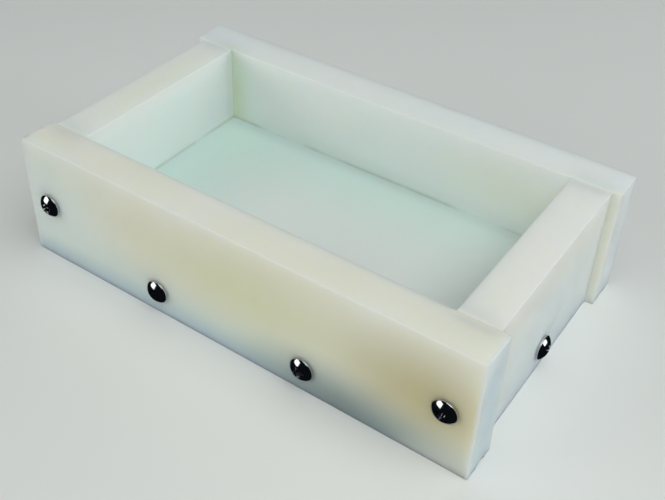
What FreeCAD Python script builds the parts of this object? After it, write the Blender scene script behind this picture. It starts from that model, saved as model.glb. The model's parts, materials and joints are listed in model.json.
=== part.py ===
import FreeCAD, Part
import math
import os

from FreeCAD import Rotation, Vector

# Soap loaf mould: an open box of five plastic boards, butt-jointed with pan-head screws.
# Millimetres. +X runs along the length, -Y is the front, +Z is up. The origin is on the
# table, under the middle of the box. Two long walls carry the box: they reach past the two
# end boards, and the floor board hangs between all four a little above the table.

os.makedirs("parts", exist_ok=True)

# Boards, all sawn from one sheet
sheet_thickness = 12.7
mould_length = 163.0       # over the long walls, along X
mould_width = 97.6         # over the outer faces of the long walls, along Y
wall_height = 43.5
end_overhang = 2.9         # how far a long wall reaches past the end board
floor_lift = 2.4           # gap under the floor board
edge_round = 0.4           # rounding of the edges that are free, not butted

# Where the screws are
end_screw_height = 21.5    # screws through a long wall into the end boards
floor_screw_spacing = 54.8  # the two screws through a long wall into the floor board

# Screw: pan head, cross recess, spaced thread over the whole shank
screw_length = 25.4        # under the head
thread_diameter = 4.2
root_diameter = 3.0
thread_pitch = 1.7
thread_crest_width = 0.12
thread_flank_angle = 30.0  # each flank from the plane across the axis, degrees
thread_root_bury = 0.12    # how far the ridge's root reaches into the core
point_length = 3.6
point_flat = 0.3           # diameter of the blunted point
neck_length = 0.8          # plain shank between head and thread
head_diameter = 7.9
head_height = 2.6
head_rim_height = 0.75     # straight side under the dome
head_rim_round = 0.3
recess_span = 4.4          # across two opposite wings at the mouth
recess_floor_span = 1.5    # the same at the bottom
recess_wing_width = 0.95
recess_depth = 1.9

# Holes
clear_hole_gap = 0.15      # radial, round the thread in the board under the head
screw_hole_gap = 0.05      # radial, round the thread in the board that it holds
hole_beyond_point = 1.5    # how far the blind hole goes on past the screw's point
drill_point_angle = 59.0   # the hole's bottom cone, between its axis and its side, degrees

# Places worked out from these
half_length = mould_length / 2
half_width = mould_width / 2
end_outer_x = half_length - end_overhang
end_inner_x = end_outer_x - sheet_thickness
wall_inner_y = half_width - sheet_thickness
end_screw_x = end_outer_x - sheet_thickness / 2
floor_screw_x = floor_screw_spacing / 2
floor_screw_height = floor_lift + sheet_thickness / 2

# Directions that the screw heads face
FRONT = Vector(0, -1, 0)
BACK = Vector(0, 1, 0)
LEFT = Vector(-1, 0, 0)
RIGHT = Vector(1, 0, 0)
UP = Vector(0, 0, 1)
AXIS_START = Vector(0, 0, 0)


def block(low, high):
    """A box between two corners."""
    size = high - low
    return Part.makeBox(size.x, size.y, size.z, low)


def runs_along(edge, direction):
    """Whether a straight edge lies along a direction."""
    run = edge.Vertexes[-1].Point - edge.Vertexes[0].Point
    return abs(run.dot(direction)) > 0.999 * run.Length


def rounded(board, edges):
    """Rounds a board's free edges."""
    return board.makeFillet(edge_round, edges)


def turned(points):
    """A solid of revolution about Z from an outline of (radius, height) points."""
    corners = [Vector(radius, 0, height) for radius, height in points]
    outline = Part.makePolygon(corners + corners[:1])
    return Part.Face(outline).revolve(AXIS_START, UP, 360)


def placed(shape, seat, facing):
    """Moves a screw-like shape from the Z axis to its seat, with +Z turned to where it faces."""
    moved = shape.copy()
    moved.Placement = FreeCAD.Placement(seat, Rotation(UP, facing))
    return moved


def screw_blank():
    """The domed head and the plain core of the shank with its point, turned in one."""
    head_radius = head_diameter / 2
    core_radius = root_diameter / 2
    dome_rise = head_height - head_rim_height
    dome_radius = (head_radius**2 + dome_rise**2) / (2 * dome_rise)
    dome_centre = Vector(0, 0, head_height - dome_radius)
    # The rim's rounding touches the dome from inside and the straight side.
    reach = dome_radius - head_rim_round
    inset = head_radius - head_rim_round
    rim_centre = Vector(inset, 0, dome_centre.z + math.sqrt(reach**2 - inset**2))
    from_dome = (rim_centre - dome_centre).normalize()
    dome_end = dome_centre + from_dome * dome_radius
    half_way = (UP + from_dome).normalize()
    dome_middle = dome_centre + half_way * dome_radius
    rim_end = rim_centre + RIGHT * head_rim_round
    rim_middle = rim_centre + (RIGHT + from_dome).normalize() * head_rim_round
    top = Vector(0, 0, head_height)
    rim_bottom = Vector(head_radius, 0, 0)
    neck_top = Vector(core_radius, 0, 0)
    core_end = Vector(core_radius, 0, point_length - screw_length)
    point_side = Vector(point_flat / 2, 0, -screw_length)
    point = Vector(0, 0, -screw_length)
    edges = [
        Part.Arc(top, dome_middle, dome_end).toShape(),
        Part.Arc(dome_end, rim_middle, rim_end).toShape(),
    ]
    corners = [rim_end, rim_bottom, neck_top, core_end, point_side, point, top]
    for start, end in zip(corners[:-1], corners[1:]):
        edges.append(Part.LineSegment(start, end).toShape())
    return Part.Face(Part.Wire(edges)).revolve(AXIS_START, UP, 360)


def thread_ridge():
    """The helical ridge from under the neck to the start of the point, its root in the core."""
    crest = thread_diameter / 2
    buried = root_diameter / 2 - thread_root_bury
    flank_run = (crest - buried) * math.tan(math.radians(thread_flank_angle))
    half_crest = thread_crest_width / 2
    half_base = half_crest + flank_run
    bottom = point_length - screw_length + half_base
    top = -neck_length
    corners = [
        Vector(buried, 0, bottom - half_base),
        Vector(crest, 0, bottom - half_crest),
        Vector(crest, 0, bottom + half_crest),
        Vector(buried, 0, bottom + half_base),
    ]
    outline = Part.makePolygon(corners + corners[:1])
    helix = Part.makeHelix(thread_pitch, top - bottom, crest)
    helix.translate(Vector(0, 0, bottom))
    return Part.Wire(helix.Edges).makePipeShell([outline], True, True)


def cross_recess():
    """Two crossed wings that narrow towards the bottom of the recess."""
    mouth = recess_span / 2
    bottom = recess_floor_span / 2
    depth = head_height - recess_depth
    slope = (mouth - bottom) / recess_depth
    above = head_height + recess_wing_width
    above_half = mouth + slope * (above - head_height)
    half_wing = recess_wing_width / 2
    corners = [
        Vector(-bottom, -half_wing, depth),
        Vector(bottom, -half_wing, depth),
        Vector(above_half, -half_wing, above),
        Vector(-above_half, -half_wing, above),
    ]
    outline = Part.makePolygon(corners + corners[:1])
    wing = Part.Face(outline).extrude(Vector(0, recess_wing_width, 0))
    other_wing = wing.copy()
    other_wing.rotate(AXIS_START, UP, 90)
    return wing.fuse(other_wing)


def screw():
    """One screw, its head's underside at the origin and its head towards +Z."""
    return screw_blank().cut(cross_recess()).fuse(thread_ridge())


def screw_hole():
    """What a drill leaves for one screw: a wide hole through the first board, then a close
    blind hole in the next, with the drill's cone at the bottom."""
    wide = thread_diameter / 2 + clear_hole_gap
    close = thread_diameter / 2 + screw_hole_gap
    blind_end = -screw_length - hole_beyond_point
    cone_end = blind_end - close / math.tan(math.radians(drill_point_angle))
    return turned(
        [
            (0, sheet_thickness),
            (wide, sheet_thickness),
            (wide, -sheet_thickness),
            (close, -sheet_thickness),
            (close, blind_end),
            (0, cone_end),
        ]
    )


def wall_screw_seats(side):
    """Where a long wall's screws seat on its outer face; side is -1 in front and 1 behind."""
    y = side * half_width
    return {
        "end_left": Vector(-end_screw_x, y, end_screw_height),
        "floor_left": Vector(-floor_screw_x, y, floor_screw_height),
        "floor_right": Vector(floor_screw_x, y, floor_screw_height),
        "end_right": Vector(end_screw_x, y, end_screw_height),
    }


def long_wall(side):
    """The front or back board, with all its edges free."""
    near = side * wall_inner_y
    far = side * half_width
    low = Vector(-half_length, min(near, far), 0)
    high = Vector(half_length, max(near, far), wall_height)
    board = block(low, high)
    return rounded(board, board.Edges)


def end_board(side):
    """The left or right board, butted between the long walls; its long edges are free."""
    near = side * end_inner_x
    far = side * end_outer_x
    low = Vector(min(near, far), -wall_inner_y, 0)
    high = Vector(max(near, far), wall_inner_y, wall_height)
    board = block(low, high)
    free = [edge for edge in board.Edges if runs_along(edge, BACK)]
    return rounded(board, free)


def floor_board():
    """The floor, butted between all four walls; its edges stay sharp so that the joint is tight."""
    low = Vector(-end_inner_x, -wall_inner_y, floor_lift)
    high = Vector(end_inner_x, wall_inner_y, floor_lift + sheet_thickness)
    return block(low, high)


# Every screw's node name, seat and facing
screws = {}
for wall_name, side, facing in (("front", -1, FRONT), ("back", 1, BACK)):
    for place, seat in wall_screw_seats(side).items():
        screws[f"{wall_name}_screw_{place}"] = (seat, facing)
for wall_name, facing in (("left", LEFT), ("right", RIGHT)):
    seat = facing * end_outer_x + Vector(0, 0, floor_screw_height)
    screws[f"{wall_name}_end_screw"] = (seat, facing)

boards = {
    "front_board": long_wall(-1),
    "back_board": long_wall(1),
    "left_end_board": end_board(-1),
    "right_end_board": end_board(1),
    "floor_board": floor_board(),
}

hole = screw_hole()
holes = Part.makeCompound([placed(hole, *where) for where in screws.values()])
nodes = {name: board.cut(holes) for name, board in boards.items()}

one_screw = screw()
for name, where in screws.items():
    nodes[name] = placed(one_screw, *where)

for name, shape in nodes.items():
    # A cut hands its one solid back inside a compound; it is written without that wrapping.
    if len(shape.Solids) == 1:
        shape = shape.Solids[0]
    print(f"{name}: {len(shape.Solids)} solid, valid {shape.isValid()}, {shape.Volume:.1f} mm3")
    shape.exportStep(f"parts/{name}.step")
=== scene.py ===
import json
import math
import random

import bmesh
import bpy
from mathutils import Matrix, Vector, noise


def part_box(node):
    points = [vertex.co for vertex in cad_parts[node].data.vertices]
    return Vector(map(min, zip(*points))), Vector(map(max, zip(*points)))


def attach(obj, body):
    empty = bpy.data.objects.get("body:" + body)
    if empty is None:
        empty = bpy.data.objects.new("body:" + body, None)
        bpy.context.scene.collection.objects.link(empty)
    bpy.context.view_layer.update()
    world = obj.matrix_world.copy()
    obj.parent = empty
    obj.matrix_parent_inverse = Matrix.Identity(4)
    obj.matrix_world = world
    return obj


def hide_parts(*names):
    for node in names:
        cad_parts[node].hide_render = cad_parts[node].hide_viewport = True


# Looks for the soap loaf mould: five polyethylene boards and ten polished pan-head screws.
# Metres, in the CAD part's frame: +X runs along the length, -Y is the front, +Z is up.

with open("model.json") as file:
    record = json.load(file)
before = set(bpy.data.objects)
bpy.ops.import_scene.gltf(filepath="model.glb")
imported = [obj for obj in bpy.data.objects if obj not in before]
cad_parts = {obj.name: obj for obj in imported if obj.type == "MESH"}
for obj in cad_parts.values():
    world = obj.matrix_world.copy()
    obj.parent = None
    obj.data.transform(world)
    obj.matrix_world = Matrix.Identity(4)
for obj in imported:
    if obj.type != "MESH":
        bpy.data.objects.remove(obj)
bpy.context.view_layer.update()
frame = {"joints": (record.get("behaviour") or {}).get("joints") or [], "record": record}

MM = 0.001
WELD = 0.001 * MM  # points closer than this are one point
bpy.context.scene.view_settings.view_transform = "Standard"
random.seed(11)

# Camera: where the lens is, and how it is turned
CAMERA_PLACE = Vector((137.6, -206.6, 213.0)) * MM
CAMERA_HEADING = 34.27  # degrees from +Y towards -X
CAMERA_TILT = 37.9      # degrees below level
CAMERA_ROLL = 1.62
CAMERA_LENS = 52.9
CAMERA_SHIFT = (0.0277, -0.0488)
CAMERA_NEAR = 10 * MM

# Boards
EDGE_ROUND = 0.15 * MM
BUTT_ROUND = 0.03 * MM         # where a board ends against another
ROUND_LINES = (45, 30, 15, 0)  # degrees at which mesh lines cross a rounded edge
FINE_STEP = 0.3 * MM           # mesh spacing beside an edge
COARSE_STEP = 2.4 * MM         # and in the middle of a board
STEP_GROWTH = 1.35
BOARD_CREASE = 40              # an edge bent by more degrees than this is sharp

# Wear of the boards; a scale is how fast a noise changes along a millimetre
SEED_STEPS = (3.7, 1.9, 5.3)  # how far one seed's noise is from the next one's
SAW_WANDER = 0.05 * MM        # how far a sawn face wanders
WANDER_SCALE = 0.06
EDGE_WEAR = 0.22 * MM
WEAR_REACH = 0.9 * MM         # nicks come this near to an edge
NICK_SCALE = 0.9
NICK_START = 0.12             # noise above this is a nick
CHIP_STEP = 1.5 * MM          # chips along a ragged edge, about this far apart
CHIP_PLACE = (0.1, 0.9)       # where a chip may be in its own stretch of the edge
CHIP_REACH = (0.7, 1.5)       # millimetres
CHIP_SHARE = (0.3, 1.0)       # of the deepest chip
CHIP_SCALE = 2.4
CHIP_EVEN, CHIP_UNEVEN = 0.55, 0.45
FRONT_FOOT_CHIPS = 0.9 * MM   # the deepest chip along each ragged edge
FRONT_TOP_CHIPS = 1.2 * MM
BACK_FOOT_CHIPS = 0.6 * MM

# Lines where two boards butt, for one quarter of the mould; the others mirror it
WALL_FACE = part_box("back_board")[0].y
END_INNER, END_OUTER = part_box("right_end_board")[0].x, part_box("right_end_board")[1].x
FLOOR_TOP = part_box("floor_board")[1].z
WALL_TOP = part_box("right_end_board")[1].z
CORNER_SEAMS = (
    ((END_INNER, WALL_FACE, WALL_TOP), (END_OUTER, WALL_FACE, WALL_TOP)),
    ((END_OUTER, WALL_FACE, 0), (END_OUTER, WALL_FACE, WALL_TOP)),
    ((END_INNER, WALL_FACE, FLOOR_TOP), (END_INNER, WALL_FACE, WALL_TOP)),
)
FLOOR_SEAMS = (
    ((0, WALL_FACE, FLOOR_TOP), (END_INNER, WALL_FACE, FLOOR_TOP)),
    ((END_INNER, 0, FLOOR_TOP), (END_INNER, WALL_FACE, FLOOR_TOP)),
)
SEAM_REACH = 3.0 * MM
SHEET = END_OUTER - END_INNER  # every board's thickness

# Curls of torn plastic on the front board: place from the corner, direction, length, sag, in mm
TOP_CURLS = (
    ((0.7, 0.6, -0.7), (-0.15, -1.0, 0.1), 2.2, 1.2),
    ((1.6, 0.6, -0.6), (0.1, -1.0, -0.1), 1.5, 0.3),
    ((0.6, 0.6, -2.1), (-0.25, -1.0, 0.0), 1.8, 0.3),
    ((0.6, 0.6, -4.8), (-0.1, -1.0, 0.1), 2.3, 1.1),
    ((1.3, 0.9, -1.5), (-0.5, -0.2, 0.9), 1.45, 0.2),
    ((1.4, 2.9, -1.5), (-0.6, 0.3, 0.8), 1.5, 0.2),
    ((1.3, 4.3, -1.5), (-0.3, 0.6, 0.8), 1.55, 0.1),
    ((1.4, 7.1, -1.5), (-0.6, -0.3, 0.8), 1.5, 0.2),
    ((1.3, 9.0, -1.5), (-0.4, 0.5, 0.8), 1.5, 0.2),
)
FOOT_CURLS = (
    ((-1.6, 0.7, 1.0), (0.9, -0.9, -0.1), 2.0, 0.3),
    ((-1.5, 1.0, 1.2), (1.0, 0.2, -0.3), 1.4, 0.3),
    ((-1.5, 2.6, 1.1), (1.0, -0.5, -0.2), 1.5, 0.4),
    ((-1.5, 4.4, 1.2), (1.0, 0.4, -0.1), 1.5, 0.5),
    ((-1.5, 7.2, 1.1), (1.0, -0.2, -0.3), 1.4, 0.2),
)
CURL_SIDES = 6
CURL_RINGS = 9
CURL_RADIUS = 0.16 * MM
CURL_TAPER = 0.75  # share of its radius that a curl loses towards its end

# Screws: head
HEAD_RIM_HEIGHT = 0.75 * MM  # where the dome and the straight side would meet in a sharp edge
HEAD_RIM_ROUND = 0.3 * MM
HEAD_BREAK = 0.12 * MM       # broken edge under the rim
DOME_STEPS = 16
RIM_STEPS = 5
RECESS_HALF_SPAN = 2.2 * MM
RECESS_FLOOR_HALF_SPAN = 0.75 * MM
RECESS_HALF_WING = 0.475 * MM
RECESS_DEPTH = 1.9 * MM
RECESS_ABOVE = 0.6 * MM      # how far the recess's cutter stands out of the head
RECESS_TIP = 0.25 * MM       # hollow point under the recess's floor
WING_ABOVE = 1.06            # a wing's width at the cutter's top, as a share
WING_FLOOR = 0.8             # and at the recess's floor
WING_CORNER = 1.25           # the inner corners' place along each axis, in half wings

# Screws: shank and thread
SCREW_SEGMENTS = 96
SCREW_CREASE = 32            # an edge bent by more degrees than this is sharp
THREAD_RADIUS = 2.1 * MM
ROOT_RADIUS = 1.5 * MM
THREAD_PITCH = 1.7 * MM
THREAD_ROWS = 40             # rows of the mesh in one turn
THREAD_TOP = 0.8 * MM        # plain neck under the head
THREAD_END = 0.5 * MM        # from the ridge's end to the tip
HALF_CREST = 0.06 * MM
FLANK_ANGLE = 30             # each flank from the plane across the axis, degrees
ROOT_BURY = 0.1 * MM         # how far the ridge's root reaches into the core
FADE_IN = 0.6                # turns in which the ridge rises at the neck
FADE_OUT = 1.2               # and falls at the point
LEAST_RIDGE = 0.02           # share of the ridge's height that its ends keep
POINT_LENGTH = 3.6 * MM
POINT_SHARE = 0.12           # the blunt point's radius, as a share of the root's
POINT_BLUNT = 0.05 * MM
FILLET_OUT = 0.12 * MM       # slope between the shank and the head's underside
FILLET_DOWN = 0.15 * MM

# Drilled holes
WIDE_GAP = 0.15 * MM         # round the thread in the board under the head
CLOSE_GAP = 0.05 * MM        # round the thread in the board that it holds
HOLE_BEYOND = 1.5 * MM       # blind hole past the screw's point
STEP_BEYOND = 0.02 * MM      # the wide hole goes this far past its board
DRILL_ANGLE = 59.0           # the hole's bottom cone, between its axis and its side, degrees
HEAD_CLEARANCE = 4 * MM      # how far a hole's cutter stands out of the board's face
HOLE_SEGMENTS = 64

# Colours of the plastic, and the light and shade painted on it
IVORY = (0.905, 0.895, 0.83)
WARM_IVORY = (0.88, 0.87, 0.76)
# painted light: makes a board's top lighter
TOP_PAINTED_LIGHT = (0.97, 0.965, 0.90)
# painted light: a warm bright line in the shaded step between an end board and the back board's
# overhang
STEP_PAINTED_LIGHT = (0.98, 0.95, 0.80)
PALE_MINT = (0.85, 0.955, 0.93)
WALL_MINT = (0.90, 0.99, 0.955)
INNER_MINT = (0.84, 0.995, 0.95)
MINT = (0.82, 0.935, 0.90)
# a tint of the plastic; where it lies on the floor's front right it is a painted warm reflection
CREAM = (0.82, 0.83, 0.60)
# painted shade: darker and tan towards the front's right end
TAN_SHADE = (0.67, 0.61, 0.38)
# painted shade, in the next three: the front cooler and darker from halfway down, then a bluer,
# darker strip along its foot, darkest towards the right
LOWER_SHADE = (0.64, 0.80, 0.76)
FOOT_SHADE = (0.54, 0.66, 0.76)
FOOT_DARK_SHADE = (0.22, 0.27, 0.26)
FOOT_CREAM = (0.80, 0.76, 0.64)
FOOT_PALE = (0.70, 0.81, 0.88)
END_PALE = (0.71, 0.83, 0.90)
# painted shade: darker and yellow-green in the back left corner of the cavity
CORNER_SHADE = (0.78, 0.83, 0.62)
FLOOR_PALE = (0.86, 0.90, 0.885)
# painted shade, in the next two: the cavity's floor darker and cooler towards the back wall and
# the end walls
FLOOR_SHADE = (0.63, 0.79, 0.745)
FLOOR_GREY_SHADE = (0.71, 0.77, 0.76)
# painted shade: a darker, broken line along the seams between the floor and the walls
SEAM_SHADE = (0.40, 0.38, 0.33)

# How fine the saw marks are along each axis: waves in a metre
ALONG_X = (60.0, 900.0, 900.0)
ALONG_Y = (900.0, 60.0, 900.0)

# For each board its two clouded colours, its saw marks, and the patches laid over them one after
# the other, some of them painted light and shade: place and reach in millimetres, colour, and how
# much of it shows in the middle
BOARD_FINISHES = {
    "front_board": (
        IVORY,
        WARM_IVORY,
        ALONG_X,
        [
            # painted shade: the front cooler and darker from halfway down
            ((-20, -49, 0), (300, 30, 24), LOWER_SHADE, 0.75),
            ((-75, -49, 22), (44, 9, 40), MINT, 0.8),
            ((5, -49, 26), (70, 9, 22), CREAM, 0.9),
            # painted shade: darker and tan towards the front's right end
            ((66, -49, 22), (38, 8, 24), TAN_SHADE, 1.0),
            # painted shade: a bluer, darker strip along the front's foot, with a dark painted
            # reflection towards the right
            ((-30, -49, -2), (300, 30, 12), FOOT_SHADE, 0.9),
            ((42, -49, 1), (50, 8, 20), FOOT_DARK_SHADE, 0.8),
            ((78, -50, -1), (26, 4, 13), FOOT_CREAM, 0.9),
            ((82, -42, 20), (2.4, 18, 80), END_PALE, 1.0),
        ],
    ),
    "back_board": (
        WALL_MINT,
        PALE_MINT,
        ALONG_X,
        [
            ((0, 49, -2), (400, 30, 14), FOOT_PALE, 0.8),
            # painted shade: darker and yellow-green in the back left corner of the cavity
            ((-66, 36, 24), (12, 8, 36), CORNER_SHADE, 0.9),
            ((46, 36, 30), (44, 7, 20), CREAM, 0.3),
            # painted light: a warm bright line in the step between the right end board and the
            # back board's overhang
            ((81, 36, 20), (6, 4, 80), STEP_PAINTED_LIGHT, 1.0),
        ],
    ),
    "left_end_board": (
        WALL_MINT,
        WALL_MINT,
        ALONG_Y,
        [
            ((-66, 0, 26), (6, 60, 30), INNER_MINT, 0.9),
            ((-72, 0, 45), (24, 70, 7), WARM_IVORY, 0.8),
            ((-79, 0, -2), (30, 200, 14), FOOT_PALE, 0.8),
        ],
    ),
    "right_end_board": (
        IVORY,
        IVORY,
        ALONG_Y,
        [
            # painted light: the top of the right end board lighter
            ((72, 20, 45), (26, 90, 9), TOP_PAINTED_LIGHT, 1.0),
            ((79, 0, 20), (8, 60, 24), PALE_MINT, 1.0),
            ((79, 0, -2), (30, 200, 22), FOOT_PALE, 0.8),
        ],
    ),
    "floor_board": (
        FLOOR_PALE,
        FLOOR_PALE,
        ALONG_X,
        [
            # painted shade: the cavity's floor darker and cooler towards the back wall and the
            # end walls
            ((0, 38, 15), (200, 42, 20), FLOOR_SHADE, 0.9),
            ((-62, 0, 15), (48, 100, 20), FLOOR_SHADE, 0.9),
            ((66, 0, 15), (40, 100, 20), FLOOR_GREY_SHADE, 0.8),
            # painted reflection: warm light at the floor's front right corner
            ((62, -36, 15), (30, 26, 20), CREAM, 0.7),
        ],
    ),
}

# Plastic; a noise's scale is how many waves it has in a metre
NOISE_SPAN = (0.3, 0.7)           # where most of a noise's values lie
CLOUD_SCALE = 22.0
# painted shade along the floor's seams: its broken pattern, where most of its values lie, and how
# dark it gets at most
SEAM_SHADE_SCALE = 45.0
SEAM_SHADE_SPAN = (0.36, 0.62)
SEAM_SHADE_MOST = 0.38
SEAM_SHADE_NARROW = 6.0                # the higher, the closer the painted shade keeps to the seam
FLECK_SCALE = 900.0
FLECK_SPAN = (0.66, 0.8)
FLECK_MOST = 0.3
FLECK_SHADE = 0.8
SHEEN_SCALE = 160.0
PLASTIC_ROUGH = (0.42, 0.58)
PLASTIC_IOR = 1.5
SKIN_SCALE = 700.0
SAW_SHARE, SKIN_SHARE = 0.6, 0.4  # of the relief
PLASTIC_BUMP = 0.22
PLASTIC_RELIEF = 0.12 * MM
GLOW_FREE, GLOW_SEAM = 0.9, 0.1   # weight of the light that goes in, away from a seam and on it
GLOW_COLOURS = (1.0, 0.9, 0.75)   # how far red, green and blue go in, in reaches
GLOW_REACH = 8 * MM

# Steel
STEEL_DARK = (0.50, 0.51, 0.54)
STEEL_LIGHT = (0.60, 0.61, 0.64)
TONE_SCALE = 500.0
SMEAR_SCALE = 1400.0
STEEL_ROUGH = (0.05, 0.12)
SCRATCHES = (3000.0, 300.0, 3000.0)  # waves in a metre along each axis
STEEL_BUMP = 0.05
STEEL_RELIEF = 0.03 * MM

# Studio floor and room
STUDIO_RADIUS = 8.0
STUDIO_SEGMENTS = 96
STUDIO_DARK = (0.84, 0.845, 0.84)
STUDIO_LIGHT = (0.87, 0.875, 0.87)
STUDIO_SCALE = 3.0  # waves in a metre of the floor's cloudy tone
STUDIO_ROUGH = 0.6
ROOM_PALE = (0.78, 0.83, 0.82)
ROOM_STRENGTH = 0.28
ROOM_DARK = (0.005, 0.006, 0.008)

SCREW_JOINTS = [joint for joint in frame["joints"] if "screw" in joint["child"]]
BODY_OF = {
    node: body
    for body, members in frame["record"]["behaviour"]["bodies"].items()
    for node in members
}


def new_object(name, mesh):
    piece = bpy.data.objects.new(name, mesh)
    bpy.context.scene.collection.objects.link(piece)
    return piece


def mesh_from(bm, name):
    """Turns a bmesh into a mesh and frees it."""
    mesh = bpy.data.meshes.new(name)
    bm.to_mesh(mesh)
    bm.free()
    return mesh


def facing(direction):
    """The rotation that turns +Z to a direction."""
    return direction.to_track_quat("Z", "Y").to_matrix().to_4x4()


def cut(piece, tool, operation="DIFFERENCE"):
    """Applies a boolean with another object and removes that object."""
    change = piece.modifiers.new("cut", "BOOLEAN")
    change.operation = operation
    change.solver = "EXACT"
    change.object = tool
    graph = bpy.context.evaluated_depsgraph_get()
    mesh = bpy.data.meshes.new_from_object(piece.evaluated_get(graph))
    piece.modifiers.clear()
    piece.data = mesh
    bpy.data.objects.remove(tool)


def clean(mesh):
    """Splits the many-sided faces that booleans leave, and drops slivers."""
    bm = bmesh.new()
    bm.from_mesh(mesh)
    bmesh.ops.remove_doubles(bm, verts=bm.verts, dist=WELD)
    bmesh.ops.triangulate(bm, faces=[face for face in bm.faces if len(face.verts) > 4])
    bmesh.ops.dissolve_degenerate(bm, dist=WELD, edges=bm.edges)
    bmesh.ops.triangulate(bm, faces=[face for face in bm.faces if len(face.verts) > 4])
    bm.to_mesh(mesh)
    bm.free()


def lathe(bm, outline, segments):
    """Turns an outline of (radius, height) about Z; its first and last radius are 0."""
    rings = []
    for radius, height in outline:
        if radius == 0:
            rings.append([bm.verts.new((0, 0, height))])
            continue
        ring = []
        for i in range(segments):
            a = 2 * math.pi * i / segments
            ring.append(bm.verts.new((radius * math.cos(a), radius * math.sin(a), height)))
        rings.append(ring)
    for upper, lower in zip(rings[:-1], rings[1:]):
        for i in range(segments):
            j = (i + 1) % segments
            if len(upper) == 1:
                bm.faces.new((upper[0], lower[i], lower[j]))
            elif len(lower) == 1:
                bm.faces.new((upper[i], lower[0], upper[j]))
            else:
                bm.faces.new((upper[i], lower[i], lower[j], upper[j]))
    bmesh.ops.recalc_face_normals(bm, faces=bm.faces)


# ---------------------------------------------------------------- boards


def grid_places(low, high, radius):
    """Where mesh lines cross one side of a board: a rounded edge, close lines, then wide ones."""
    half = (high - low) / 2
    offsets = [radius * (1 - math.tan(math.radians(a))) for a in ROUND_LINES]
    step = FINE_STEP
    while offsets[-1] + step < half and step < COARSE_STEP:
        offsets.append(offsets[-1] + step)
        step *= STEP_GROWTH
    gap = 2 * (half - offsets[-1])
    count = max(1, round(gap / step))
    middle = [low + offsets[-1] + gap * i / count for i in range(1, count)]
    return [low + o for o in offsets] + middle + [high - o for o in reversed(offsets)]


def rounded_point(point, low, high, radii):
    """Moves a point of a box's surface onto the same box with rounded edges; the second result
    is the surface's direction there."""
    core = Vector(
        min(max(p, lo + r), hi - r) for p, lo, hi, r in zip(point, low, high, radii)
    )
    away = Vector((p - c) / r for p, c, r in zip(point, core, radii)).normalized()
    normal = Vector(a / r for a, r in zip(away, radii)).normalized()
    return core + Vector(a * r for a, r in zip(away, radii)), normal


def board_mesh(name, low, high, radii, wear):
    """A box with rounded edges as a grid, pushed in by wear(point, normal)."""
    places = [grid_places(low[k], high[k], radii[k]) for k in range(3)]
    bm = bmesh.new()
    made = {}

    def vertex(index):
        if index not in made:
            flat = Vector(places[k][index[k]] for k in range(3))
            point, normal = rounded_point(flat, low, high, radii)
            made[index] = bm.verts.new(point - normal * wear(point, normal))
        return made[index]

    counts = [len(p) - 1 for p in places]
    for axis in range(3):
        u, v = (axis + 1) % 3, (axis + 2) % 3
        for side in (0, counts[axis]):
            for i in range(counts[u]):
                for j in range(counts[v]):
                    corners = []
                    for a, b in ((0, 0), (1, 0), (1, 1), (0, 1)):
                        index = [0, 0, 0]
                        index[axis] = side
                        index[u] = i + a
                        index[v] = j + b
                        corners.append(vertex(tuple(index)))
                    bm.faces.new(corners if side else corners[::-1])
    return mesh_from(bm, name)


def nearness(distance, reach):
    """1 at a place, falling smoothly to 0 at a reach from it."""
    t = max(0.0, 1 - distance / reach)
    return t * t * (3 - 2 * t)


def edge_distance(point, low, high):
    """How far a surface point is from the nearest edge of its board."""
    gaps = sorted(min(point[k] - low[k], high[k] - point[k]) for k in range(3))
    return max(0.0, gaps[1])


def board_wear(low, high, seed, sawn_axes, chips):
    """How deep a board's surface is worn: sawn faces that wander, nicked edges, chips."""
    shift = Vector(seed * step for step in SEED_STEPS)

    def depth(point, normal):
        at = point / MM
        wander = 0.5 + 0.5 * noise.noise(at * WANDER_SCALE + shift)
        sawn = max([abs(normal[k]) for k in sawn_axes], default=0.0)
        worn = SAW_WANDER * wander * sawn
        rim = nearness(edge_distance(point, low, high), WEAR_REACH)
        nick = max(0.0, noise.noise(at * NICK_SCALE + shift) - NICK_START)
        worn += EDGE_WEAR * rim * nick * sawn
        for place, reach, deepest in chips:
            close = nearness((point - place).length, reach)
            rough = CHIP_EVEN + CHIP_UNEVEN * noise.noise(at * CHIP_SCALE + shift)
            worn += deepest * close * rough
        return worn

    return depth


def ragged_edge(low, high, x, z, deepest):
    """Chips of their own sizes along an edge that the saw left torn. The edge runs along Y at an
    x and z, from one side of its board's box to the other."""
    start = Vector((x, low.y, z))
    end = Vector((x, high.y, z))
    count = max(2, round((end - start).length / CHIP_STEP))
    chips = []
    for i in range(count):
        place = start.lerp(end, (i + random.uniform(*CHIP_PLACE)) / count)
        reach = random.uniform(*CHIP_REACH) * MM
        chips.append((place, reach, deepest * random.uniform(*CHIP_SHARE)))
    return chips


def whisker(bm, root, direction, length, sag):
    """A fine curl of torn plastic, tapered to its end, as a closed tube."""
    across = direction.cross(Vector((0, 0, 1))).normalized()
    upright = across.cross(direction).normalized()
    previous = None
    for i in range(CURL_RINGS):
        t = i / (CURL_RINGS - 1)
        centre = root + direction * length * t + Vector((0, 0, -sag * t * t))
        radius = CURL_RADIUS * (1 - CURL_TAPER * t)
        ring = []
        for k in range(CURL_SIDES):
            a = 2 * math.pi * k / CURL_SIDES
            around = across * math.cos(a) + upright * math.sin(a)
            ring.append(bm.verts.new(centre + around * radius))
        if previous:
            for k in range(CURL_SIDES):
                n = (k + 1) % CURL_SIDES
                bm.faces.new((previous[k], previous[n], ring[n], ring[k]))
        else:
            bm.faces.new(ring[::-1])
        previous = ring
    bm.faces.new(previous)


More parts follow.
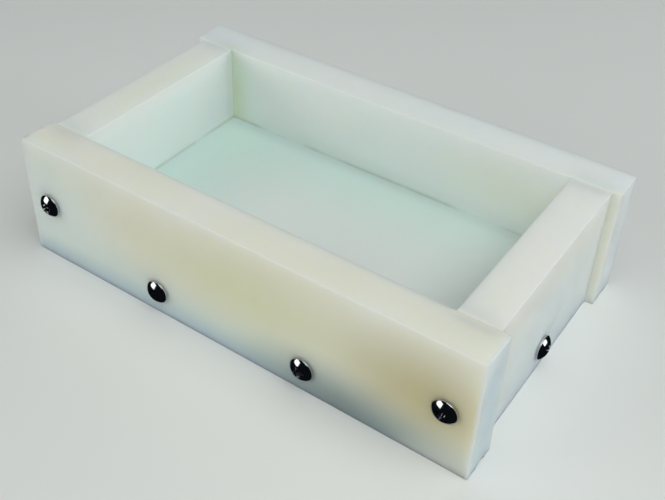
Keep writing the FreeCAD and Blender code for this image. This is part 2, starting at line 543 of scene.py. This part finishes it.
def whiskers(corner, curls):
    """Curls of torn plastic round a corner, as one object; each is a place from the corner, a
    direction, a length and how far its end sags, in millimetres."""
    bm = bmesh.new()
    for place, direction, length, sag in curls:
        root = corner + Vector(place) * MM
        whisker(bm, root, Vector(direction).normalized(), length * MM, sag * MM)
    bmesh.ops.recalc_face_normals(bm, faces=bm.faces)
    return new_object("whiskers", mesh_from(bm, "whiskers"))


def hole_tool(seat, outward, length):
    """What a drill leaves for one screw: a wide hole through the board under the head, then a
    close blind hole in the next board with the drill's cone at its bottom."""
    wide = THREAD_RADIUS + WIDE_GAP
    close = THREAD_RADIUS + CLOSE_GAP
    bottom = -length - HOLE_BEYOND
    cone = close / math.tan(math.radians(DRILL_ANGLE))
    outline = [
        (0, HEAD_CLEARANCE),
        (wide, HEAD_CLEARANCE),
        (wide, -SHEET - STEP_BEYOND),
        (close, -SHEET - STEP_BEYOND),
        (close, bottom),
        (0, bottom - cone),
    ]
    bm = bmesh.new()
    lathe(bm, outline, HOLE_SEGMENTS)
    bm.transform(Matrix.Translation(seat) @ facing(outward))
    return new_object("hole_tool", mesh_from(bm, "hole_tool"))


def screw_seat(node, outward):
    """The point under the head, on the face of the board that it sits on."""
    low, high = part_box(node)
    middle = (low + high) / 2
    if node.startswith(("front", "back")):
        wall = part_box("front_board" if node.startswith("front") else "back_board")
        face = wall[0].y if outward.y < 0 else wall[1].y
        return Vector((middle.x, face, middle.z))
    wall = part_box("left_end_board" if node.startswith("left") else "right_end_board")
    face = wall[0].x if outward.x < 0 else wall[1].x
    return Vector((face, middle.y, middle.z))


def meets(seat, outward, length, low, high):
    """Whether a screw's shank passes through a board's box."""
    end = seat - outward * length
    near = [min(seat[k], end[k]) - THREAD_RADIUS for k in range(3)]
    far = [max(seat[k], end[k]) + THREAD_RADIUS for k in range(3)]
    return all(near[k] < high[k] and far[k] > low[k] for k in range(3))


def screw_sizes(node, outward):
    """A screw's head radius, head height and length under the head, from its box."""
    low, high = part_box(node)
    point = low if sum(outward) > 0 else high
    length = abs((screw_seat(node, outward) - point).dot(outward))
    sizes = sorted(high - low)
    return sizes[0] / 2, sizes[2] - length, length


def add_board(node, seed, sawn_axes=(), butt_axes=(), chips=(), curls=()):
    """A board's visible mesh in place of its CAD node, drilled for the screws that meet it."""
    low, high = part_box(node)
    radii = [BUTT_ROUND if k in butt_axes else EDGE_ROUND for k in range(3)]
    wear = board_wear(low, high, seed, sawn_axes, chips)
    piece = new_object(node + "_plastic", board_mesh(node, low, high, radii, wear))
    for curl in curls:
        cut(piece, curl, "UNION")
    for joint in SCREW_JOINTS:
        outward = Vector(joint["axis"])
        seat = screw_seat(joint["child"], outward)
        length = screw_sizes(joint["child"], outward)[2]
        if meets(seat, outward, length, low, high):
            cut(piece, hole_tool(seat, outward, length))
    clean(piece.data)
    piece.data.shade_smooth()
    piece.data.set_sharp_from_angle(angle=math.radians(BOARD_CREASE))
    piece.data.materials.append(plastic(node + "_plastic", *BOARD_FINISHES[node]))
    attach(piece, BODY_OF[node])
    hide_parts(node)


# ---------------------------------------------------------------- screws


def head_outline(radius, height):
    """The domed pan head from its top to its underside, with a rounded rim."""
    rise = height - HEAD_RIM_HEIGHT
    dome = (radius**2 + rise**2) / (2 * rise)
    centre = height - dome
    reach = math.asin((radius - HEAD_RIM_ROUND) / (dome - HEAD_RIM_ROUND))
    outline = []
    for i in range(DOME_STEPS + 1):
        a = reach * i / DOME_STEPS
        outline.append((dome * math.sin(a), centre + dome * math.cos(a)))
    rim_centre = centre + (dome - HEAD_RIM_ROUND) * math.cos(reach)
    for i in range(1, RIM_STEPS + 1):
        a = reach + (math.pi / 2 - reach) * i / RIM_STEPS
        out = radius - HEAD_RIM_ROUND + HEAD_RIM_ROUND * math.sin(a)
        outline.append((out, rim_centre + HEAD_RIM_ROUND * math.cos(a)))
    outline.append((radius, HEAD_BREAK))
    outline.append((radius - HEAD_BREAK, 0))
    return outline


def core_radius(depth, length):
    """The shank's core at a depth under the head: straight, then drawn to the point."""
    left = length - depth
    return ROOT_RADIUS * min(1.0, POINT_SHARE + (1 - POINT_SHARE) * left / POINT_LENGTH)


def thread_strip(bm, length):
    """The helical ridge as a closed strip, faded in at the neck and out at the point."""
    run = length - THREAD_END - THREAD_TOP
    count = round(run / THREAD_PITCH * THREAD_ROWS)
    rows = []
    for i in range(count + 1):
        depth = THREAD_TOP + run * i / count
        a = -2 * math.pi * depth / THREAD_PITCH
        core = core_radius(depth, length)
        rise = i / (FADE_IN * THREAD_ROWS)
        fall = (count - i) / (FADE_OUT * THREAD_ROWS) + LEAST_RIDGE
        fade = max(min(1.0, rise, fall), LEAST_RIDGE)
        crest = core + (THREAD_RADIUS - ROOT_RADIUS) * fade
        inner = core - ROOT_BURY
        half_base = HALF_CREST + (crest - inner) * math.tan(math.radians(FLANK_ANGLE))
        row = []
        for radius, offset in (
            (inner, half_base),
            (crest, HALF_CREST),
            (crest, -HALF_CREST),
            (inner, -half_base),
        ):
            row.append(
                bm.verts.new((radius * math.cos(a), radius * math.sin(a), offset - depth))
            )
        rows.append(row)
    for upper, lower in zip(rows[:-1], rows[1:]):
        for k in range(4):
            n = (k + 1) % 4
            bm.faces.new((upper[k], upper[n], lower[n], lower[k]))
    bm.faces.new(rows[0][::-1])
    bm.faces.new(rows[-1])
    bmesh.ops.recalc_face_normals(bm, faces=bm.faces)


def recess_tool(head_height):
    """The cross recess as a closed tapered cross, a little taller than the head."""
    slope = (RECESS_HALF_SPAN - RECESS_FLOOR_HALF_SPAN) / RECESS_DEPTH
    top_span = RECESS_HALF_SPAN + slope * RECESS_ABOVE
    floor = head_height - RECESS_DEPTH
    bm = bmesh.new()
    rings = []
    for height, span, wing in (
        (head_height + RECESS_ABOVE, top_span, RECESS_HALF_WING * WING_ABOVE),
        (floor, RECESS_FLOOR_HALF_SPAN, RECESS_HALF_WING * WING_FLOOR),
    ):
        inner = wing * WING_CORNER
        ring = []
        for quarter in range(4):
            turn = Matrix.Rotation(quarter * math.pi / 2, 3, "Z")
            for x, y in ((span, -wing), (span, wing), (inner, inner)):
                ring.append(bm.verts.new(turn @ Vector((x, y, height))))
        rings.append(ring)
    upper, lower = rings
    count = len(upper)
    for i in range(count):
        j = (i + 1) % count
        bm.faces.new((upper[j], upper[i], lower[i], lower[j]))
    bm.faces.new(upper)
    tip = bm.verts.new((0, 0, floor - RECESS_TIP))
    for i in range(count):
        j = (i + 1) % count
        bm.faces.new((lower[j], lower[i], tip))
    bmesh.ops.recalc_face_normals(bm, faces=bm.faces)
    return new_object("recess_tool", mesh_from(bm, "recess_tool"))


def screw_mesh(head_radius, head_height, length):
    """One screw with its head towards +Z and the head's underside at the origin."""
    outline = head_outline(head_radius, head_height) + [
        (ROOT_RADIUS + FILLET_OUT, 0),
        (ROOT_RADIUS, -FILLET_DOWN),
        (ROOT_RADIUS, POINT_LENGTH - length),
        (ROOT_RADIUS * POINT_SHARE, POINT_BLUNT - length),
        (0, -length),
    ]
    blank = bmesh.new()
    lathe(blank, outline, SCREW_SEGMENTS)
    piece = new_object("screw_master", mesh_from(blank, "screw"))
    ridge = bmesh.new()
    thread_strip(ridge, length)
    cut(piece, new_object("ridge", mesh_from(ridge, "ridge")), "UNION")
    cut(piece, recess_tool(head_height))
    mesh = piece.data
    clean(mesh)
    mesh.shade_smooth()
    mesh.set_sharp_from_angle(angle=math.radians(SCREW_CREASE))
    bpy.data.objects.remove(piece)
    return mesh


def add_screws(material):
    """The ten screws, alike but each turned by its own amount."""
    mesh = None
    for joint in SCREW_JOINTS:
        node = joint["child"]
        outward = Vector(joint["axis"])
        seat = screw_seat(node, outward)
        if mesh is None:
            mesh = screw_mesh(*screw_sizes(node, outward))
            mesh.materials.append(material)
        piece = new_object(node + "_steel", mesh)
        spin = Matrix.Rotation(random.uniform(0, math.pi / 2), 4, "Z")
        piece.matrix_world = Matrix.Translation(seat) @ facing(outward) @ spin
        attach(piece, joint["child"])
        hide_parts(node)


# ---------------------------------------------------------------- materials


class Nodes:
    """Short hands for building one material's node tree."""

    def __init__(self, name):
        self.material = bpy.data.materials.new(name)
        self.material.use_nodes = True
        self.tree = self.material.node_tree
        self.shader = self.tree.nodes["Principled BSDF"]

    def add(self, kind, **values):
        made = self.tree.nodes.new(kind)
        for key, value in values.items():
            setattr(made, key, value)
        return made

    def link(self, source, target):
        self.tree.links.new(source, target)

    def place(self):
        """Where a point of the surface is, in metres."""
        return self.add("ShaderNodeTexCoord").outputs["Object"]

    def noise(self, vector, scale, detail=3.0, roughness=0.5):
        made = self.add("ShaderNodeTexNoise")
        made.inputs["Scale"].default_value = scale
        made.inputs["Detail"].default_value = detail
        made.inputs["Roughness"].default_value = roughness
        self.link(vector, made.inputs["Vector"])
        return made.outputs["Fac"]

    def remap(self, value, low, high, to_low=0.0, to_high=1.0):
        made = self.add("ShaderNodeMapRange", interpolation_type="SMOOTHSTEP")
        made.inputs["From Min"].default_value = low
        made.inputs["From Max"].default_value = high
        made.inputs["To Min"].default_value = to_low
        made.inputs["To Max"].default_value = to_high
        self.link(value, made.inputs["Value"])
        return made.outputs["Result"]

    def math(self, operation, first, second):
        made = self.add("ShaderNodeMath", operation=operation)
        for socket, value in zip(made.inputs, (first, second)):
            if isinstance(value, (int, float)):
                socket.default_value = value
            else:
                self.link(value, socket)
        return made.outputs["Value"]

    def vector_math(self, operation, first, second=None):
        """A step with two vectors, of which the second is a plain one or left out."""
        made = self.add("ShaderNodeVectorMath", operation=operation)
        self.link(first, made.inputs[0])
        if second is not None:
            made.inputs[1].default_value = second
        return made.outputs["Value" if operation == "LENGTH" else "Vector"]

    def mix(self, factor, first, second):
        """Mixes two colours, each a plain tuple or a socket."""
        made = self.add("ShaderNodeMix", data_type="RGBA")
        self.link(factor, made.inputs["Factor"])
        for name, value in (("A", first), ("B", second)):
            socket = [s for s in made.inputs if s.name == name and s.type == "RGBA"][0]
            if isinstance(value, tuple):
                socket.default_value = (*value, 1.0)
            else:
                self.link(value, socket)
        return [s for s in made.outputs if s.type == "RGBA"][0]

    def stretched(self, vector, scale):
        """A vector scaled by its own amount along each axis."""
        made = self.add("ShaderNodeMapping")
        made.inputs["Scale"].default_value = scale
        self.link(vector, made.inputs["Vector"])
        return made.outputs["Vector"]

    def bump(self, height, strength, distance):
        """Makes the surface look raised where a height is high."""
        made = self.add("ShaderNodeBump")
        made.inputs["Strength"].default_value = strength
        made.inputs["Distance"].default_value = distance
        self.link(height, made.inputs["Height"])
        self.link(made.outputs["Normal"], self.shader.inputs["Normal"])


def patch(nodes, place, colour, centre, reach, tint, amount):
    """Blends a tint into a colour around a place, fading over its own reach along each axis."""
    away = nodes.vector_math("SUBTRACT", place, Vector(centre) * MM)
    scaled = nodes.vector_math("DIVIDE", away, Vector(reach) * MM)
    factor = nodes.remap(nodes.vector_math("LENGTH", scaled), 0.0, 1.0, amount, 0.0)
    return nodes.mix(factor, colour, tint)


def seam_nearness(nodes, place, seams):
    """1 on some of the lines where boards butt, falling to 0 at SEAM_REACH from them."""
    mirrored = nodes.vector_math("ABSOLUTE", place)
    nearest = None
    for start, end in seams:
        start, end = Vector(start), Vector(end)
        away = nodes.vector_math("SUBTRACT", mirrored, (start + end) / 2)
        away = nodes.vector_math("ABSOLUTE", away)
        away = nodes.vector_math("SUBTRACT", away, (end - start) / 2)
        away = nodes.vector_math("MAXIMUM", away, Vector())
        distance = nodes.vector_math("LENGTH", away)
        nearest = distance if nearest is None else nodes.math("MINIMUM", nearest, distance)
    return nodes.remap(nearest, 0.0, SEAM_REACH, 1.0, 0.0)


def plastic_colour(n, place, main, second, patches):
    """Cloudy plastic with its patches, some of them painted light and shade, painted shade in the
    seams round the floor, and fine flecks.
    """
    cloud = n.remap(n.noise(place, CLOUD_SCALE, detail=2.0), *NOISE_SPAN)
    colour = n.mix(cloud, main, second)
    for one in patches:
        colour = patch(n, place, colour, *one)
    # painted shade: a darker, broken line along the seams between the floor and the walls
    line = n.math("POWER", seam_nearness(n, place, FLOOR_SEAMS), SEAM_SHADE_NARROW)
    seam_shade = n.noise(place, SEAM_SHADE_SCALE, detail=4.0)
    seam_shade = n.remap(seam_shade, *SEAM_SHADE_SPAN, 0.0, SEAM_SHADE_MOST)
    colour = n.mix(n.math("MULTIPLY", line, seam_shade), colour, SEAM_SHADE)
    fleck = n.noise(place, FLECK_SCALE, detail=3.0, roughness=0.7)
    fleck = n.remap(fleck, *FLECK_SPAN, 0.0, FLECK_MOST)
    return n.mix(fleck, colour, tuple(FLECK_SHADE * c for c in main))


def plastic(name, main, second, grain, patches):
    """Milky polyethylene: cloudy colour with painted light and shade, light that goes in, faint
    saw marks along the grain.
    The light goes in less at the seams, because it would be lost where two boards meet."""
    n = Nodes(name)
    place = n.place()
    colour = plastic_colour(n, place, main, second, patches)
    n.link(colour, n.shader.inputs["Base Color"])
    seam = seam_nearness(n, place, CORNER_SEAMS + FLOOR_SEAMS)
    glow = n.remap(seam, 0.0, 1.0, GLOW_FREE, GLOW_SEAM)
    n.link(glow, n.shader.inputs["Subsurface Weight"])
    n.shader.inputs["Subsurface Radius"].default_value = GLOW_COLOURS
    n.shader.inputs["Subsurface Scale"].default_value = GLOW_REACH
    n.shader.inputs["IOR"].default_value = PLASTIC_IOR
    sheen = n.noise(place, SHEEN_SCALE, detail=4.0)
    n.link(n.remap(sheen, *NOISE_SPAN, *PLASTIC_ROUGH), n.shader.inputs["Roughness"])
    saw = n.noise(n.stretched(place, grain), 1.0, detail=4.0, roughness=0.6)
    skin = n.noise(place, SKIN_SCALE, detail=4.0, roughness=0.6)
    saw = n.math("MULTIPLY", saw, SAW_SHARE)
    skin = n.math("MULTIPLY", skin, SKIN_SHARE)
    n.bump(n.math("ADD", saw, skin), PLASTIC_BUMP, PLASTIC_RELIEF)
    return n.material


def steel():
    """Polished steel of the screws, with fine scratches."""
    n = Nodes("screw_steel")
    place = n.place()
    tone = n.remap(n.noise(place, TONE_SCALE), *NOISE_SPAN)
    n.link(n.mix(tone, STEEL_DARK, STEEL_LIGHT), n.shader.inputs["Base Color"])
    n.shader.inputs["Metallic"].default_value = 1.0
    smear = n.noise(place, SMEAR_SCALE, detail=4.0)
    n.link(n.remap(smear, *NOISE_SPAN, *STEEL_ROUGH), n.shader.inputs["Roughness"])
    scratches = n.noise(n.stretched(place, SCRATCHES), 1.0, detail=2.0)
    n.bump(scratches, STEEL_BUMP, STEEL_RELIEF)
    return n.material


# ---------------------------------------------------------------- studio


def add_camera():
    data = bpy.data.cameras.new("camera")
    data.lens = CAMERA_LENS
    data.shift_x, data.shift_y = CAMERA_SHIFT
    data.clip_start = CAMERA_NEAR
    camera = new_object("camera", data)
    turn = Matrix.Rotation(math.radians(CAMERA_HEADING), 4, "Z")
    turn @= Matrix.Rotation(math.radians(90 - CAMERA_TILT), 4, "X")
    turn @= Matrix.Rotation(math.radians(CAMERA_ROLL), 4, "Z")
    camera.matrix_world = Matrix.Translation(CAMERA_PLACE) @ turn
    bpy.context.scene.camera = camera


def add_light(name, direction, distance, size, watts, colour, spread=180.0):
    """A softbox that faces the object from a direction; a grid can narrow its spread."""
    data = bpy.data.lights.new(name, "AREA")
    data.shape = "RECTANGLE"
    data.size, data.size_y = size
    data.energy = watts
    data.color = colour
    data.spread = math.radians(spread)
    light = new_object(name, data)
    away = Vector(direction).normalized()
    light.matrix_world = Matrix.Translation(away * distance) @ facing(away)


def add_lights():
    """Two windows far to the sides and a softbox above."""
    add_light(
        "window_left",
        direction=(-0.66, -0.73, 0.28),
        distance=1.8,
        size=(1.2, 1.0),
        watts=1.3,
        colour=(1.0, 0.99, 0.95),
        spread=60.0,
    )
    add_light(
        "window_right",
        direction=(0.90, 0.38, 0.24),
        distance=1.8,
        size=(1.0, 0.8),
        watts=0.87,
        colour=(0.92, 0.97, 1.0),
        spread=60.0,
    )
    add_light(
        "softbox_top",
        direction=(0.46, -0.22, 1.0),
        distance=1.0,
        size=(1.0, 0.8),
        watts=5.3,
        colour=(0.965, 1.0, 0.97),
    )


def add_floor():
    """A pale painted floor, which polished metal doesn't mirror."""
    bm = bmesh.new()
    bmesh.ops.create_circle(
        bm, cap_ends=True, segments=STUDIO_SEGMENTS, radius=STUDIO_RADIUS
    )
    mesh = mesh_from(bm, "floor")
    floor = new_object("floor", mesh)
    n = Nodes("floor_paint")
    tone = n.remap(n.noise(n.place(), STUDIO_SCALE), *NOISE_SPAN)
    n.link(n.mix(tone, STUDIO_DARK, STUDIO_LIGHT), n.shader.inputs["Base Color"])
    n.shader.inputs["Roughness"].default_value = STUDIO_ROUGH
    mesh.materials.append(n.material)
    floor.visible_glossy = False


def add_world():
    """A pale room that lights from all sides and is dark where polished metal mirrors it."""
    world = bpy.data.worlds.new("room")
    bpy.context.scene.world = world
    world.use_nodes = True
    tree = world.node_tree
    tree.nodes.clear()
    pale = tree.nodes.new("ShaderNodeBackground")
    pale.inputs["Color"].default_value = (*ROOM_PALE, 1.0)
    pale.inputs["Strength"].default_value = ROOM_STRENGTH
    dark = tree.nodes.new("ShaderNodeBackground")
    dark.inputs["Color"].default_value = (*ROOM_DARK, 1.0)
    path = tree.nodes.new("ShaderNodeLightPath")
    mix = tree.nodes.new("ShaderNodeMixShader")
    out = tree.nodes.new("ShaderNodeOutputWorld")
    tree.links.new(path.outputs["Is Glossy Ray"], mix.inputs["Fac"])
    tree.links.new(pale.outputs["Background"], mix.inputs[1])
    tree.links.new(dark.outputs["Background"], mix.inputs[2])
    tree.links.new(mix.outputs["Shader"], out.inputs["Surface"])


# ---------------------------------------------------------------- the object in its studio


add_camera()
add_floor()
add_world()
add_lights()

front_low, front_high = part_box("front_board")
back_low, back_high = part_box("back_board")
front_chips = ragged_edge(front_low, front_high, front_high.x, front_low.z, FRONT_FOOT_CHIPS)
front_chips += ragged_edge(front_low, front_high, front_low.x, front_high.z, FRONT_TOP_CHIPS)
back_chips = ragged_edge(back_low, back_high, back_high.x, back_low.z, BACK_FOOT_CHIPS)
front_curls = [
    whiskers(Vector((front_low.x, front_low.y, front_high.z)), TOP_CURLS),
    whiskers(Vector((front_high.x, front_low.y, front_low.z)), FOOT_CURLS),
]
add_board("front_board", 1, sawn_axes=(0, 2), chips=front_chips, curls=front_curls)
add_board("back_board", 2, sawn_axes=(0, 2), chips=back_chips)
add_board("left_end_board", 3, sawn_axes=(2,), butt_axes=(1,))
add_board("right_end_board", 4, sawn_axes=(2,), butt_axes=(1,))
add_board("floor_board", 5, butt_axes=(0, 1, 2))
add_screws(steel())
